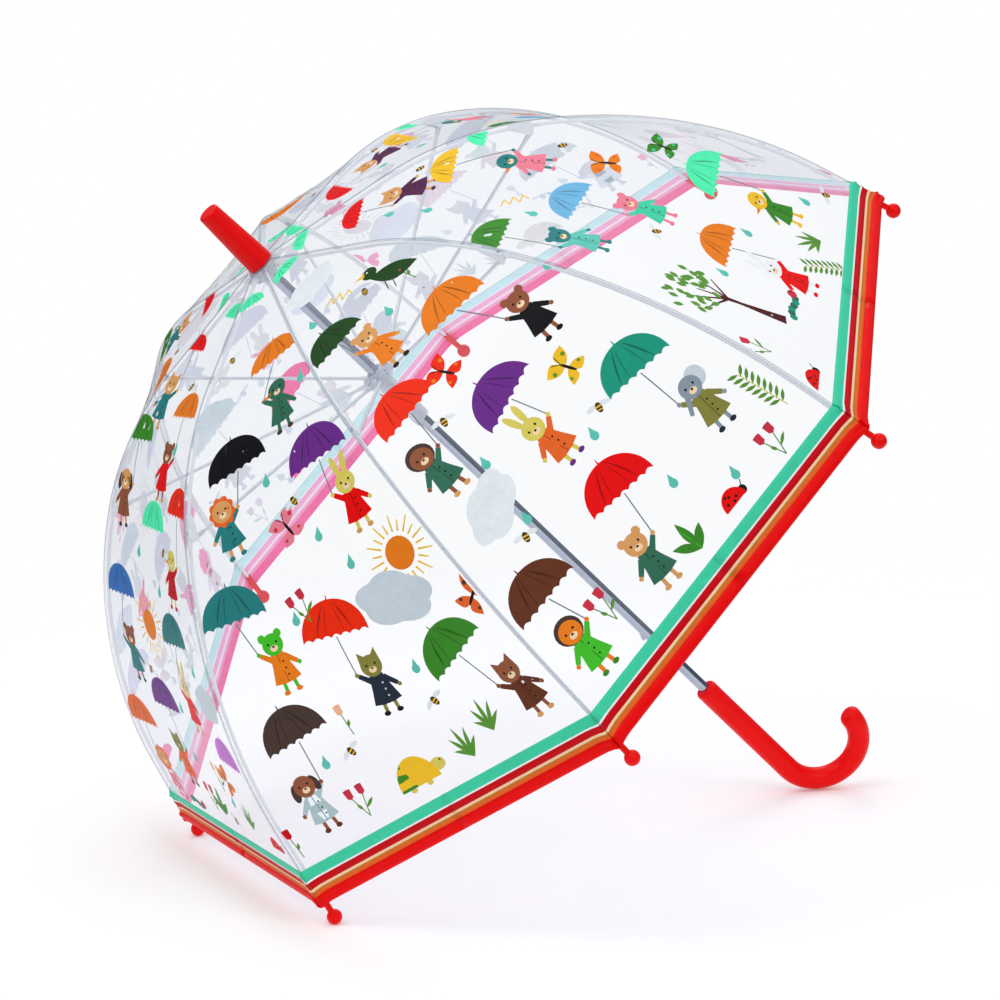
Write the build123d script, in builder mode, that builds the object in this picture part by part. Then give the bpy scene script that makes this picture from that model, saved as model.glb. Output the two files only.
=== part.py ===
"""Children's dome umbrella, open: a tube shaft with a crook handle and a ferrule cap, a notch and a runner,
eight hinged ribs with stretchers, and a clear film canopy of eight gores with a striped hem.

The frame is upright. +Z runs up the shaft to the ferrule, the handle's crook opens towards +X, and the
origin is on the shaft's axis, halfway along the straight of the grip. Sizes are in millimetres.
"""
import math
import os

from build123d import *

os.makedirs("parts", exist_ok=True)

# Handle
grip_run = 102.0
grip_radius = 8.4
crook_radius = 31.2
crook_turn = 188.0
crook_end_rounding = 5.0
grip_top_rounding = 2.5
shaft_in_grip = 40.0

# Shaft, from the handle's top to the point where the film meets the axis
shaft_run = 488.0
shaft_radius = 4.0
shaft_wall = 0.7

# Ferrule cap
ferrule_length = 51.3
ferrule_base_radius = 9.9
ferrule_end_radius = 7.7
ferrule_end_rounding = 1.6
shaft_in_ferrule = 36.0

# Canopy, as the line of its outer face over a rib: straight, arc, elbow, arc, straight
rib_count = 8
crown_slope = 9.0
crown_run = 102.0
shoulder_radius = 232.0
shoulder_turn = 27.4
flank_radius = 349.0
flank_turn = 35.6
skirt_run = 53.0
film_thickness = 0.5
hem_width = 28.0
hem_thickness = 0.4
soft_gap = 0.3

# Ribs, stretchers and their hinges
rod_radius = 1.2
hinge_ring_radius = 9.5
hinge_drop = 6.5
eye_radius = 1.7
eye_thickness = 2.0
eye_reach = 8.0
rod_start = 5.0
wire_radius = 0.45
wire_hole_clearance = 0.3
wire_seat_clearance = 0.05
cheek_radius = 2.1
cheek_thickness = 0.8
cheek_gap = 2.6
pin_radius = 0.75
pin_clearance = 0.1
stretcher_drop = 4.5
clip_reach = 14.0
clip_block_radius = 1.5
clip_block_end = 5.0
closed_rib_angle = 1.0
closed_skirt_angle = 2.0

# Rib tips
tip_sleeve_radius = 2.2
tip_sleeve_length = 14.0
tip_ball_radius = 5.3
tip_ball_beyond_film = 12.0
rod_into_tip = 5.0

# Notch, washer and runner
notch_beyond_ring = 2.5
notch_top_drop = 3.2
notch_bottom_drop = 10.5
slot_side_clearance = 0.5
slot_inside_ring = 2.1
slot_roof = 2.3
washer_radius = 11.0
washer_thickness = 0.35
runner_clearance = 0.1
crown_beyond_ring = 2.0
crown_half_height = 3.0
collar_height = 2.0
barrel_radius = 6.5
barrel_length = 42.0
window_drop = 19.0
window_height = 10.0
window_width = 3.6

# Stop pin and the two sprung catches
stop_pin_radius = 1.0
stop_pin_length = 11.0
stop_gap = 0.3
catch_width = 2.4
catch_height = 7.0
catch_inner_reach = 0.8
catch_reach = 6.1
catch_tooth = 1.6
catch_travel = 2.0
catch_slot_clearance = 0.3

# Places that follow from the sizes above
handle_top = grip_run / 2
apex = handle_top + shaft_run
elbow_slope = crown_slope + shoulder_turn
skirt_slope = elbow_slope + flank_turn
half_gore = 180.0 / rib_count
clip_half_width = cheek_gap / 2 + cheek_thickness
ridge_fall = clip_half_width * math.tan(math.radians(half_gore)) * math.sin(math.radians(elbow_slope))
rod_depth = film_thickness + ridge_fall + soft_gap + cheek_radius
notch_radius = hinge_ring_radius + notch_beyond_ring
crown_radius = hinge_ring_radius + crown_beyond_ring
slot_root_radius = hinge_ring_radius - slot_inside_ring
slot_width = eye_thickness + 2 * slot_side_clearance


def along(slope):
    """The unit vector down the canopy at a slope below the horizontal, in a rib's plane."""
    return Vector(math.cos(math.radians(slope)), -math.sin(math.radians(slope)))


def inward(slope):
    """The unit vector from the film towards the inside of the dome, in a rib's plane."""
    return Vector(-math.sin(math.radians(slope)), -math.cos(math.radians(slope)))


def xy(point):
    return (point.X, point.Y)


def join(a, b):
    Line(xy(a), xy(b))


def rib_angle(k):
    return k * 360.0 / rib_count


def rib_plane(k, side=0.0):
    """A rib's plane: local x runs out from the axis, local y runs up, from the apex of the film."""
    turn = math.radians(rib_angle(k))
    normal = Vector(math.sin(turn), -math.cos(turn), 0)
    return Plane(
        origin=Vector(0, 0, apex) + normal * side,
        x_dir=(math.cos(turn), math.sin(turn), 0),
        z_dir=normal,
    )


shoulder_start = along(crown_slope) * crown_run
shoulder_centre = shoulder_start + inward(crown_slope) * shoulder_radius
elbow_on_film = shoulder_centre - inward(elbow_slope) * shoulder_radius
flank_centre = elbow_on_film + inward(elbow_slope) * flank_radius
flank_end = flank_centre - inward(skirt_slope) * flank_radius
film_edge = flank_end + along(skirt_slope) * skirt_run
hinge = Vector(hinge_ring_radius, -hinge_drop)
elbow = elbow_on_film + inward(elbow_slope) * rod_depth
clip_pivot = elbow + inward(elbow_slope) * stretcher_drop
tip_ball = film_edge + along(skirt_slope) * tip_ball_beyond_film + inward(skirt_slope) * rod_depth
runner_hinge_drop = 2 * (hinge.Y - clip_pivot.Y) - hinge.Y
runner_hinge = Vector(hinge_ring_radius, -runner_hinge_drop)


def upper_line(depth, start, trim=0.0):
    """The canopy's line at a depth inside the film, from a distance along the crown to near the elbow."""
    radius = shoulder_radius - depth
    turn = shoulder_turn - math.degrees(trim / radius)
    first = along(crown_slope) * start + inward(crown_slope) * depth
    corner = shoulder_start + inward(crown_slope) * depth
    join(first, corner)
    JernArc(xy(corner), xy(along(crown_slope)), radius, -turn)
    return first, shoulder_centre - inward(crown_slope + turn) * radius


def lower_line(depth, trim, run):
    """The canopy's line at a depth inside the film, from just past the elbow down the skirt."""
    radius = flank_radius - depth
    turn = flank_turn - math.degrees(trim / radius)
    first = flank_centre - inward(skirt_slope - turn) * radius
    corner = flank_end + inward(skirt_slope) * depth
    last = corner + along(skirt_slope) * run
    JernArc(xy(first), xy(along(skirt_slope - turn)), radius, -turn)
    join(corner, last)
    return first, last


def eye_outline(centre, towards):
    """An eye at a rod's end: a round lobe that narrows to the rod, to be extruded."""
    with Locations(xy(centre)):
        Circle(eye_radius)
    with Locations(xy(centre + towards.normalized() * eye_reach)):
        Circle(rod_radius)
    make_hull()


def spread_half_gores(strip, k):
    """Grows a strip that was sketched in rib k's plane into the film's two half gores."""
    for side in (1, -1):
        turn = math.radians(rib_angle(k) + side * half_gore)
        across = Vector(-math.sin(turn), math.cos(turn), 0) * side
        with BuildPart(mode=Mode.PRIVATE) as half:
            extrude(strip.sketch, amount=film_edge.X, dir=across)
            split(bisect_by=Plane(origin=across * -soft_gap, z_dir=across), keep=Keep.BOTTOM)
        add(half.part)


def save(piece, name):
    piece.label = name
    export_step(piece, f"parts/{name}.step")


# Shaft: a steel tube with a cross hole for the stop pin and a slot for each catch
top_catch_top = apex - runner_hinge_drop - crown_half_height - barrel_length - stop_gap
fold_angle = math.degrees(math.atan2(clip_pivot.X - hinge.X, hinge.Y - clip_pivot.Y))
link_length = (clip_pivot - hinge).length
runner_travel = 2 * link_length * (
    math.cos(math.radians(closed_rib_angle)) - math.cos(math.radians(fold_angle))
)
bottom_catch_middle = apex - runner_hinge_drop - runner_travel - window_drop
bottom_catch_base = bottom_catch_middle - catch_height / 2
stop_pin_height = (
    apex - runner_hinge_drop + crown_half_height + collar_height + stop_gap + stop_pin_radius
)
stop_pin_plane = Plane(
    origin=(0, 0, stop_pin_height),
    z_dir=(math.cos(math.radians(half_gore)), math.sin(math.radians(half_gore)), 0),
)
catch_slot_height = catch_height + 2 * catch_slot_clearance
with BuildPart() as shaft:
    with BuildSketch(Plane.XY.offset(handle_top - shaft_in_grip)):
        Circle(shaft_radius)
        Circle(shaft_radius - shaft_wall, mode=Mode.SUBTRACT)
    extrude(amount=shaft_in_grip + shaft_run + shaft_in_ferrule)
    with BuildSketch(stop_pin_plane):
        Circle(stop_pin_radius)
    extrude(amount=stop_pin_length, both=True, mode=Mode.SUBTRACT)
    for middle in (top_catch_top - catch_height / 2, bottom_catch_middle):
        with Locations((-shaft_radius, 0, middle)):
            Box(2 * shaft_wall + 1, catch_width + 2 * catch_slot_clearance, catch_slot_height,
                mode=Mode.SUBTRACT)
save(shaft.part, "shaft")

# Handle: a moulded tube bent into a crook, bored for the shaft
with BuildPart() as handle:
    with BuildLine(Plane.XZ) as crook:
        Line((0, handle_top), (0, -handle_top))
        JernArc((0, -handle_top), (0, -1), crook_radius, crook_turn)
    with BuildSketch(Plane.XY.offset(handle_top)):
        Circle(grip_radius)
    sweep(path=crook.wire())
    ends = handle.faces().filter_by(GeomType.PLANE)
    top_rim = ends.sort_by(Axis.X)[0].edges()
    crook_rim = ends.sort_by(Axis.X)[-1].edges()
    fillet(top_rim, grip_top_rounding)
    fillet(crook_rim, crook_end_rounding)
    with BuildSketch(Plane.XY.offset(handle_top - shaft_in_grip)):
        Circle(shaft_radius)
    extrude(amount=shaft_in_grip + 1, mode=Mode.SUBTRACT)
save(handle.part, "handle")

# Ferrule: a tapered cap over the shaft's end, its base cut to lie along the film
film_fall = math.tan(math.radians(crown_slope))
with BuildPart() as ferrule:
    with BuildSketch(Plane.XZ):
        with BuildLine():
            Polyline(
                (0, apex + ferrule_length),
                (ferrule_end_radius, apex + ferrule_length),
                (ferrule_base_radius, apex - ferrule_base_radius * film_fall + soft_gap),
                (shaft_radius, apex - shaft_radius * film_fall + soft_gap),
                (shaft_radius, apex + shaft_in_ferrule),
                (0, apex + shaft_in_ferrule),
                close=True,
            )
        make_face()
    revolve(axis=Axis.Z)
    fillet(ferrule.faces().sort_by(Axis.Z)[-1].edges(), ferrule_end_rounding)
save(ferrule.part, "ferrule")

# Crown washer: a thin clear disc between the film and the notch
notch_top = apex - notch_top_drop
with BuildPart() as crown_washer:
    with BuildSketch(Plane.XY.offset(notch_top)):
        Circle(washer_radius)
        Circle(shaft_radius, mode=Mode.SUBTRACT)
    extrude(amount=washer_thickness)
save(crown_washer.part, "crown_washer")

# Top notch: a slotted ring pressed on the shaft, which a wire ring turns into eight hinges
slot_length = notch_radius
with BuildPart() as top_notch:
    with BuildSketch(Plane.XY.offset(apex - notch_bottom_drop)):
        Circle(notch_radius)
        Circle(shaft_radius, mode=Mode.SUBTRACT)
    extrude(amount=notch_bottom_drop - notch_top_drop)
    with BuildSketch(Plane.XY.offset(apex - notch_bottom_drop)):
        with PolarLocations(slot_root_radius + slot_length / 2, rib_count):
            Rectangle(slot_length, slot_width)
    extrude(amount=notch_bottom_drop - hinge_drop + slot_roof, mode=Mode.SUBTRACT)
    with Locations((0, 0, apex - hinge_drop)):
        Torus(hinge_ring_radius, wire_radius + wire_seat_clearance, mode=Mode.SUBTRACT)
save(top_notch.part, "top_notch")

with BuildPart() as notch_wire:
    with Locations((0, 0, apex - hinge_drop)):
        Torus(hinge_ring_radius, wire_radius)
save(notch_wire.part, "notch_wire")

# Stop pin: keeps the open runner from sliding further up
with BuildPart() as stop_pin:
    with BuildSketch(stop_pin_plane):
        Circle(stop_pin_radius)
    extrude(amount=stop_pin_length / 2, both=True)
save(stop_pin.part, "stop_pin")

# Runner: a barrel that slides on the shaft, with a slotted crown and a window for the bottom catch
crown_height = apex - runner_hinge_drop
with BuildPart() as runner:
    with BuildSketch(Plane.XY.offset(crown_height - crown_half_height - barrel_length)):
        Circle(barrel_radius)
    extrude(amount=barrel_length + 2 * crown_half_height + collar_height)
    with BuildSketch(Plane.XY.offset(crown_height - crown_half_height)):
        Circle(crown_radius)
        with PolarLocations(slot_root_radius + slot_length / 2, rib_count):
            Rectangle(slot_length, slot_width, mode=Mode.SUBTRACT)
    extrude(amount=2 * crown_half_height)
    with Locations((0, 0, crown_height)):
        Torus(hinge_ring_radius, wire_radius + wire_seat_clearance, mode=Mode.SUBTRACT)
    with BuildSketch(Plane.XY.offset(crown_height - crown_half_height - barrel_length)):
        Circle(shaft_radius + runner_clearance)
    extrude(amount=barrel_length + 2 * crown_half_height + collar_height, mode=Mode.SUBTRACT)
    with Locations((-barrel_radius, 0, crown_height - window_drop)):
        Box(2 * (barrel_radius - shaft_radius), window_width, window_height, mode=Mode.SUBTRACT)
save(runner.part, "runner")

# Runner wire: only the lengths that sit in the crown's walls, since each stretcher's eye needs a free way
with BuildPart() as runner_wire:
    with Locations((0, 0, crown_height)):
        Torus(hinge_ring_radius, wire_radius)
    with BuildSketch(Plane.XY.offset(crown_height - crown_half_height)):
        with PolarLocations(slot_root_radius + slot_length / 2, rib_count):
            Rectangle(slot_length, slot_width)
    extrude(amount=2 * crown_half_height, mode=Mode.SUBTRACT)
save(runner_wire.part, "runner_wire")


def catch_outline(ledge, slope_end):
    """A catch's tongue: a flat face that holds the runner, and a ramp that the runner presses in."""
    way = math.copysign(1, slope_end - ledge)
    Polyline(
        (-catch_inner_reach, ledge),
        (-catch_reach, ledge),
        (-catch_reach, ledge + way * catch_tooth),
        (-shaft_radius, slope_end),
        (-catch_inner_reach, slope_end),
        close=True,
    )


# Catches: the tongues of the two leaf springs inside the shaft
for name, ledge, slope_end in (
    ("top_catch", top_catch_top, top_catch_top - catch_height),
    ("bottom_catch", bottom_catch_base, bottom_catch_base + catch_height),
):
    with BuildPart() as catch:
        with BuildSketch(Plane.XZ):
            with BuildLine():
                catch_outline(ledge, slope_end)
            make_face()
        extrude(amount=catch_width / 2, both=True)
    save(catch.part, name)

# The pieces of each rib, and the film that is welded over it
rod_first = (hinge_ring_radius + rod_start) / math.cos(math.radians(crown_slope))
rod_first_point = along(crown_slope) * rod_first + inward(crown_slope) * rod_depth
film_first = (shaft_radius + 2 * soft_gap) / math.cos(math.radians(crown_slope))
clip_back = elbow - along(elbow_slope) * clip_reach
clip_front = elbow - along(elbow_slope) * clip_block_end
for k in range(rib_count):
    number = k + 1
    slice_plane = rib_plane(k)

    with BuildPart() as rib_upper:
        with BuildLine(slice_plane) as spine:
            upper_line(rod_depth, rod_first, clip_block_end)
        with BuildSketch(Plane(origin=spine.line @ 0, z_dir=spine.line % 0)):
            Circle(rod_radius)
        sweep(path=spine.wire())
        with BuildSketch(slice_plane):
            eye_outline(hinge, rod_first_point - hinge)
        extrude(amount=eye_thickness / 2, both=True)
        with BuildSketch(slice_plane):
            with Locations(xy(hinge)):
                Circle(wire_radius + wire_hole_clearance)
        extrude(amount=eye_thickness, both=True, mode=Mode.SUBTRACT)
        with BuildSketch(slice_plane):
            for point in (clip_back, clip_front):
                with Locations(xy(point)):
                    Circle(clip_block_radius)
            make_hull()
        extrude(amount=cheek_gap / 2, both=True)
        for side in (cheek_gap / 2, -cheek_gap / 2 - cheek_thickness):
            with BuildSketch(rib_plane(k, side)):
                with Locations(xy(clip_back)):
                    Circle(clip_block_radius)
                for point in (elbow, clip_pivot):
                    with Locations(xy(point)):
                        Circle(cheek_radius)
                make_hull()
            extrude(amount=cheek_thickness)
        with BuildSketch(slice_plane):
            for point in (elbow, clip_pivot):
                with Locations(xy(point)):
                    Circle(pin_radius)
        extrude(amount=cheek_gap / 2 + cheek_thickness, both=True)
    save(rib_upper.part, f"rib_upper_{number}")

    with BuildPart() as rib_lower:
        with BuildLine(slice_plane) as spine:
            lower_line(rod_depth, rod_start, skirt_run + tip_ball_beyond_film - rod_into_tip)
        with BuildSketch(Plane(origin=spine.line @ 0, z_dir=spine.line % 0)):
            Circle(rod_radius)
        sweep(path=spine.wire())
        with BuildSketch(slice_plane):
            eye_outline(elbow, along(elbow_slope))
        extrude(amount=eye_thickness / 2, both=True)
        with BuildSketch(slice_plane):
            with Locations(xy(elbow)):
                Circle(pin_radius + pin_clearance)
        extrude(amount=eye_thickness, both=True, mode=Mode.SUBTRACT)
    save(rib_lower.part, f"rib_lower_{number}")

    with BuildPart() as stretcher:
        reach = runner_hinge - clip_pivot
        run = Plane(
            origin=slice_plane.from_local_coords(clip_pivot + reach.normalized() * rod_start),
            z_dir=slice_plane.from_local_coords(runner_hinge) - slice_plane.from_local_coords(clip_pivot),
        )
        with BuildSketch(run):
            Circle(rod_radius)
        extrude(amount=reach.length - 2 * rod_start)
        for centre, towards in ((clip_pivot, reach), (runner_hinge, -reach)):
            with BuildSketch(slice_plane):
                eye_outline(centre, towards)
            extrude(amount=eye_thickness / 2, both=True)
        for centre, hole in (
            (clip_pivot, pin_radius + pin_clearance),
            (runner_hinge, wire_radius + wire_hole_clearance),
        ):
            with BuildSketch(slice_plane):
                with Locations(xy(centre)):
                    Circle(hole)
            extrude(amount=eye_thickness, both=True, mode=Mode.SUBTRACT)
    save(stretcher.part, f"stretcher_{number}")

    with BuildPart() as rib_tip:
        with BuildSketch(slice_plane):
            with BuildLine():
                sleeve_top = tip_ball - along(skirt_slope) * (tip_ball_beyond_film + tip_sleeve_length)
                rod_end = tip_ball - along(skirt_slope) * rod_into_tip
                side = inward(skirt_slope)
                neck_end = tip_ball - along(skirt_slope) * math.sqrt(
                    tip_ball_radius**2 - tip_sleeve_radius**2
                )
                ball_end = tip_ball + along(skirt_slope) * tip_ball_radius
                ball_side = tip_ball + side * tip_ball_radius
                join(ball_end, rod_end)
                join(rod_end, rod_end + side * rod_radius)
                join(rod_end + side * rod_radius, sleeve_top + side * rod_radius)
                join(sleeve_top + side * rod_radius, sleeve_top + side * tip_sleeve_radius)
                join(sleeve_top + side * tip_sleeve_radius, neck_end + side * tip_sleeve_radius)
                ThreePointArc(
                    xy(neck_end + side * tip_sleeve_radius),
                    xy(ball_side),
                    xy(ball_end),
                )
            make_face()
        centre_line = slice_plane.from_local_coords(ball_end) - slice_plane.from_local_coords(rod_end)
        revolve(axis=Axis(slice_plane.from_local_coords(rod_end), centre_line))
    save(rib_tip.part, f"rib_tip_{number}")

    with BuildPart() as canopy_upper:
        with BuildSketch(slice_plane, mode=Mode.PRIVATE) as strip:
            with BuildLine():
                first, last = upper_line(0, film_first, soft_gap)
                inner_first, inner_last = upper_line(film_thickness, film_first, soft_gap)
                join(first, inner_first)
                join(last, inner_last)
            make_face()
        spread_half_gores(strip, k)
    save(canopy_upper.part, f"canopy_upper_{number}")

    with BuildPart() as canopy_lower:
        hem_start = film_edge - along(skirt_slope) * hem_width
        for hem in (False, True):
            with BuildSketch(slice_plane, mode=Mode.PRIVATE) as strip:
                with BuildLine():
                    if hem:
                        proud = inward(skirt_slope) * -hem_thickness
                        join(hem_start, film_edge)
                        join(film_edge, film_edge + proud)
                        join(film_edge + proud, hem_start + proud)
                        join(hem_start + proud, hem_start)
                    else:
                        first, last = lower_line(0, soft_gap, skirt_run)
                        inner_first, inner_last = lower_line(film_thickness, soft_gap, skirt_run)
                        join(first, inner_first)
                        join(last, inner_last)
                make_face()
            spread_half_gores(strip, k)
    save(canopy_lower.part, f"canopy_lower_{number}")

# The joints' places and travel
skirt_chord = tip_ball - elbow
open_skirt_angle = math.degrees(math.atan2(skirt_chord.X, -skirt_chord.Y))
rib_fold = fold_angle - closed_rib_angle
elbow_fold = open_skirt_angle - closed_skirt_angle - rib_fold
for name, point in (("hinge", hinge), ("elbow", elbow), ("clip", clip_pivot), ("tip", tip_ball)):
    print(name, round(point.X, 4), round(apex + point.Y, 4))
print("runner", hinge_ring_radius, round(crown_height, 4), round(runner_travel, 4))
print("folds", round(rib_fold, 5), round(elbow_fold, 5), round(link_length, 4))
print("catches", round(top_catch_top, 4), round(bottom_catch_base, 4), catch_travel)
print("ends", round(apex + ferrule_length, 4), round(apex + film_edge.Y, 4), round(film_edge.X, 4))
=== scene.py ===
import math
import random

import bmesh
import bpy
import numpy as np
from mathutils import Matrix, Vector


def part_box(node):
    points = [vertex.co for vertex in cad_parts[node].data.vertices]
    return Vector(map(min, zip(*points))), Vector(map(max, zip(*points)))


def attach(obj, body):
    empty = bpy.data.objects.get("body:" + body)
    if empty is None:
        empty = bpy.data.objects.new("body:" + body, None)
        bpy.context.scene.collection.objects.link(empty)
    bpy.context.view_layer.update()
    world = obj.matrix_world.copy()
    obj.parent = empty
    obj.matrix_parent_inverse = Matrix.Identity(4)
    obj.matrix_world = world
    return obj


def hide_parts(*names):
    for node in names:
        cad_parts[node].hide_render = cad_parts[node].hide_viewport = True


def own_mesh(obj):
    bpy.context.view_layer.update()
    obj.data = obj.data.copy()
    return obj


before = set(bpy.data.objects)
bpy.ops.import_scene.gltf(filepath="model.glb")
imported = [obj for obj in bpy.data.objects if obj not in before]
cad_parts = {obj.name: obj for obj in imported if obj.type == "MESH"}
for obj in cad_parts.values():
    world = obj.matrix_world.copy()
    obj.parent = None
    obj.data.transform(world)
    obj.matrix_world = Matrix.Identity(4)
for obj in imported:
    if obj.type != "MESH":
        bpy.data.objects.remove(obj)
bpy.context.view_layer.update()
rib_numbers = range(1, 9)


# Shaft
# A thin steel tube, drawn and nickel plated, that carries everything else. Inside it sit two leaf
# springs, whose tongues are the catches, and a steel pin through it stops the runner.
class Wire:
    """A socket in a finish, so that shader maths can be written as sums."""

    def __init__(self, finish, socket):
        self.finish = finish
        self.socket = socket

    def _maths(self, how, first, second):
        return self.finish.node("Math", {"operation": how}, {0: first, 1: second})

    def __add__(self, other):
        return self._maths("ADD", self, other)

    def __sub__(self, other):
        return self._maths("SUBTRACT", self, other)

    def __mul__(self, other):
        return self._maths("MULTIPLY", self, other)

    def __pow__(self, other):
        return self._maths("POWER", self, other)

    def __rsub__(self, other):
        return self._maths("SUBTRACT", other, self)

    __radd__ = __add__
    __rmul__ = __mul__


class Finish:
    """A material, or a sky, under construction. node() adds any node and gives one output."""

    def __init__(self, name, store=bpy.data.materials):
        self.material = store.new(name)
        self.material.use_nodes = True
        self.tree = self.material.node_tree
        self.tree.nodes.clear()

    def node(self, kind, settings=None, sockets=None, output=0):
        made = self.tree.nodes.new("ShaderNode" + kind)
        for key, value in (settings or {}).items():
            if key == "stops":
                ramp = made.color_ramp
                ramp.elements[0].position, ramp.elements[0].color = value[0]
                ramp.elements[1].position, ramp.elements[1].color = value[-1]
                for place, tint in value[1:-1]:
                    ramp.elements.new(place).color = tint
            else:
                setattr(made, key, value)
        for key, value in (sockets or {}).items():
            if isinstance(value, Wire):
                self.tree.links.new(value.socket, made.inputs[key])
            else:
                made.inputs[key].default_value = value
        return Wire(self, made.outputs[output])

    def noise(self, scale, detail=3.0, stretch=(1, 1, 1)):
        place = self.node("TexCoord", output=3)
        place = self.node("Mapping", {}, {0: place, 3: stretch})
        return self.node("TexNoise", {}, {"Vector": place, "Scale": scale, "Detail": detail})

    def blend(self, share, first, second):
        return self.node("Mix", {"data_type": "RGBA"}, {0: share, 6: first, 7: second}, output=2)

    def bump(self, height, distance, strength=1.0):
        return self.node("Bump", {}, {"Height": height, "Distance": distance, "Strength": strength})

    def see_through(self, share, tint, skin):
        """Lets the light straight through in a tint, apart from the share that the skin takes."""
        clear = self.node("BsdfTransparent", {}, {"Color": tint})
        self.show(self.node("MixShader", {}, {0: share, 1: clear, 2: skin}))

    def show(self, shader, end="Material"):
        shown = self.tree.nodes.new("ShaderNodeOutput" + end)
        self.tree.links.new(shader.socket, shown.inputs["Surface"])

    def cover(self, *pieces):
        for piece in pieces:
            if not piece.material_slots:
                piece.data.materials.append(self.material)
            for slot in piece.material_slots:
                slot.material = self.material


def colour(red, green, blue):
    """A linear colour from the usual 0 to 255 screen values."""
    parts = [value / 255 for value in (red, green, blue)]
    return tuple(v / 12.92 if v < 0.04045 else ((v + 0.055) / 1.055) ** 2.4 for v in parts) + (1,)


def cad(*names):
    return [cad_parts[name] for name in names]


steel = Finish("drawn_steel")
streaks = steel.noise(900, 4, (1, 1, 0.012))
smudges = steel.noise(38, 3)
steel.show(steel.node("BsdfPrincipled", {}, {
    "Base Color": steel.blend(streaks, colour(150, 160, 178), colour(196, 204, 216)),
    "Metallic": 1.0,
    "Roughness": 0.08 + smudges * 0.14,
    "Normal": steel.bump(streaks, 0.00008),
}))
steel.cover(*cad("shaft", "top_catch", "bottom_catch", "stop_pin"))

# Handle and ferrule
# Both are injection moulded in one glossy red plastic, and so are the rib tips below. The mould
# leaves a very faint orange-peel skin, and hands have left the crook slightly duller in places.
red_plastic = Finish("red_plastic")
peel = red_plastic.noise(260, 2)
handling = red_plastic.noise(24, 4)
red_plastic.show(red_plastic.node("BsdfPrincipled", {}, {
    "Base Color": red_plastic.blend(handling, colour(232, 0, 2), colour(244, 4, 4)),
    "Roughness": 0.26 + handling * 0.16,
    "IOR": 1.49,
    "Specular IOR Level": 0.13,
    "Coat Weight": 0.035,
    "Coat Roughness": 0.12,
    "Subsurface Weight": 0.06,
    "Subsurface Radius": (0.004, 0.0008, 0.0004),
    "Normal": red_plastic.bump(peel, 0.00012),
}))
red_plastic.cover(*cad("handle", "ferrule"))

# Top notch, crown washer and runner
# The notch and the runner are moulded in a milky clear plastic, so the shaft shows through them a
# little. The washer is a disc of the same stuff, pressed on the film under the ferrule.
milky = Finish("milky_plastic")
flow = milky.noise(90, 3, (1, 1, 0.3))
milky_skin = milky.node("BsdfPrincipled", {}, {
    "Base Color": milky.blend(flow, colour(214, 222, 230), colour(240, 244, 248)),
    "Roughness": 0.18 + flow * 0.14,
    "IOR": 1.46,
    "Coat Weight": 0.3,
    "Normal": milky.bump(flow, 0.0001),
})
milky_share = 0.5 + 0.35 * milky.node("LayerWeight", {}, {"Blend": 0.5}, output=1)
milky.see_through(milky_share, colour(240, 244, 248), milky_skin)
milky.cover(*cad("top_notch", "runner", "crown_washer"))

# Hinge wires
# A round of galvanised wire passes through all eight eyes at the notch, and another at the runner.
# The one at the runner is made here as a full ring, in place of the short lengths in its walls.
zinc = Finish("zinc_wire")
spangle = zinc.noise(420, 4)
zinc.show(zinc.node("BsdfPrincipled", {}, {
    "Base Color": zinc.blend(spangle, colour(150, 156, 164), colour(196, 202, 208)),
    "Metallic": 0.9,
    "Roughness": 0.26 + spangle * 0.2,
    "Normal": zinc.bump(spangle, 0.00006),
}))
zinc.cover(*cad("notch_wire"))


class Tree:
    """A Geometry Nodes tree under construction, with its named inputs on the left."""

    def __init__(self, name, **inputs):
        self.group = bpy.data.node_groups.new(name, "GeometryNodeTree")
        face = self.group.interface
        face.new_socket("Geometry", in_out="INPUT", socket_type="NodeSocketGeometry")
        for label, value in inputs.items():
            kind = "NodeSocketInt" if isinstance(value, int) else "NodeSocketFloat"
            face.new_socket(label, in_out="INPUT", socket_type=kind).default_value = value
        face.new_socket("Geometry", in_out="OUTPUT", socket_type="NodeSocketGeometry")
        self.inputs = self.group.nodes.new("NodeGroupInput")

    def node(self, kind, settings=None, sockets=None, output=0):
        made = self.group.nodes.new(kind)
        for key, value in (settings or {}).items():
            setattr(made, key, value)
        for key, value in (sockets or {}).items():
            if isinstance(value, bpy.types.NodeSocket):
                self.group.links.new(value, made.inputs[key])
            else:
                made.inputs[key].default_value = value
        return made.outputs[output]

    def finish(self, geometry, material=None):
        whole = self.node("GeometryNodeRealizeInstances", {}, {0: geometry})
        if material:
            whole = self.node("GeometryNodeSetMaterial", {}, {0: whole, "Material": material})
        end = self.group.nodes.new("NodeGroupOutput")
        self.group.links.new(whole, end.inputs[0])

    def make(self, name, start, **values):
        """Runs the tree on a starting mesh, and keeps the result as a plain mesh."""
        piece = bpy.data.objects.new(name, start)
        bpy.context.collection.objects.link(piece)
        modifier = piece.modifiers.new(self.group.name, "NODES")
        modifier.node_group = self.group
        sockets = {item.name: item.identifier for item in self.group.interface.items_tree}
        for label, value in values.items():
            modifier[sockets[label]] = value
        seen = piece.evaluated_get(bpy.context.evaluated_depsgraph_get())
        made = bpy.data.meshes.new_from_object(seen)
        piece.modifiers.remove(modifier)
        piece.data = made
        return piece


def mesh_of(name, points, faces, edges=()):
    mesh = bpy.data.meshes.new(name)
    mesh.from_pydata([tuple(p) for p in points], list(edges), [tuple(f) for f in faces])
    mesh.update()
    return mesh


def stand(name, mesh, smooth=True):
    piece = bpy.data.objects.new(name, mesh)
    bpy.context.collection.objects.link(piece)
    mesh.polygons.foreach_set("use_smooth", [smooth] * len(mesh.polygons))
    return piece


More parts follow.
